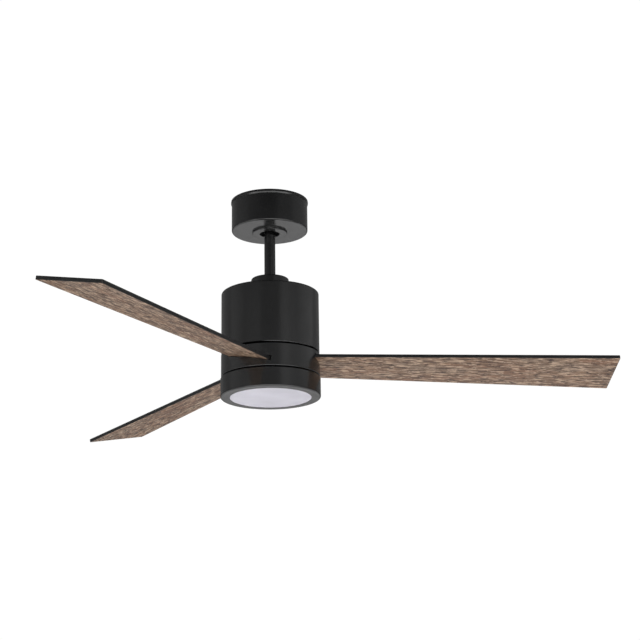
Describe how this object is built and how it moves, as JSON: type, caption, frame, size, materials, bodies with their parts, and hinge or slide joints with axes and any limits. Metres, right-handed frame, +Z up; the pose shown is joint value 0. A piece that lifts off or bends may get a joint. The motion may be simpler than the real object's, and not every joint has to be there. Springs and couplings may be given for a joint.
{
  "type": "ceiling fan with light",
  "caption": "Ceiling fan with pitched wood-finish blades on a turning hub below a black drum motor housing, with a flat opal light, short downrod and ball-hung canopy.",
  "frame": {"origin": "centre of the hanger bracket's top face, in the ceiling plane", "axes": "+Z up, along the downrod and the motor's axis; +X along blade A and along the bracket's row of slots"},
  "size_m": [1.0403, 1.2001, 0.3934],
  "materials": {
    "black_paint": "satin black powder coat",
    "zinc_plate": "bright zinc plate",
    "green_steel": "green earthing screw",
    "steel": "plain steel",
    "cast_iron": "cast, machined bores",
    "cast_aluminium": "die cast",
    "coated_aluminium": "die cast, black e-coat",
    "sheet_aluminium": "bright sheet",
    "magnet": "nickel-plated ferrite",
    "copper": "enamelled copper wire",
    "circuit_board": "solder mask",
    "black_plastic": "moulded",
    "white_plastic": "moulded nylon",
    "orange_plastic": "moulded",
    "lead_insulation": "soft insulation",
    "rubber": "matt",
    "weathered_wood": "weathered oak-grain finish below, black top and edges",
    "opal": "opal diffuser, unlit",
    "led_yellow": "phosphor"
  },
  "bodies": {
    "ceiling_mount": {"hanger_bracket": "zinc_plate", "canopy_lugs": "zinc_plate", "ball_cradle": "zinc_plate", "canopy": "black_paint", "canopy_trim_ring": "black_paint", "canopy_screws": "steel", "ground_screw": "green_steel", "receiver_case": "black_plastic", "receiver_lid": "black_plastic", "receiver_leads": "lead_insulation", "wire_connectors": "orange_plastic"},
    "ball_liner": {"ball_liner": "white_plastic"},
    "hanging": {"hanger_ball": "black_plastic", "ball_cross_pin": "steel", "ball_set_screw": "steel", "downrod": "black_paint", "motor_leads": "lead_insulation", "harness_plug": "white_plastic", "coupling_cover": "black_paint", "cover_grommet": "rubber", "motor_yoke": "cast_iron", "yoke_pin": "steel", "pin_clip": "steel", "yoke_set_screws": "steel", "motor_housing": "black_paint", "housing_screws": "steel", "motor_shaft": "steel", "stator_core": "steel", "stator_coils": "copper", "motor_board": "circuit_board", "motor_capacitors": "black_plastic", "bearing_inner_races": "steel", "light_plate": "zinc_plate", "shaft_nuts": "steel", "light_housing": "black_paint", "light_screws": "steel", "heat_sink": "sheet_aluminium", "led_driver": "white_plastic", "lamp_leads": "lead_insulation", "led_board": "sheet_aluminium", "led_chips": "led_yellow", "board_screws": "steel", "lens": "opal", "lens_clips": "zinc_plate"},
    "rotor": {"upper_bell": "coated_aluminium", "lower_bell": "coated_aluminium", "rotor_magnets": "magnet", "bell_bolts": "steel", "bearing_outer_races": "steel", "bearing_balls": "zinc_plate", "blade_hub": "black_paint", "hub_screws": "steel", "blade_iron_a": "cast_aluminium", "blade_iron_b": "cast_aluminium", "blade_iron_c": "cast_aluminium", "iron_bolts": "steel", "blade_a": "weathered_wood", "blade_b": "weathered_wood", "blade_c": "weathered_wood", "blade_screws": "steel"}
  },
  "joints": [
    {"name": "swing_x", "type": "hinge", "parent": "ceiling_mount", "child": "ball_liner", "pos_m": [0, 0, -0.032], "axis": [1, 0, 0], "range_deg": [-8, 8]},
    {"name": "swing_y", "type": "hinge", "parent": "ball_liner", "child": "hanging", "pos_m": [0, 0, -0.032], "axis": [0, 1, 0], "range_deg": [-8, 8]},
    {"name": "spin", "type": "hinge", "parent": "hanging", "child": "rotor", "pos_m": [0, 0, -0.328], "axis": [0, 0, 1], "continuous": true}
  ]
}
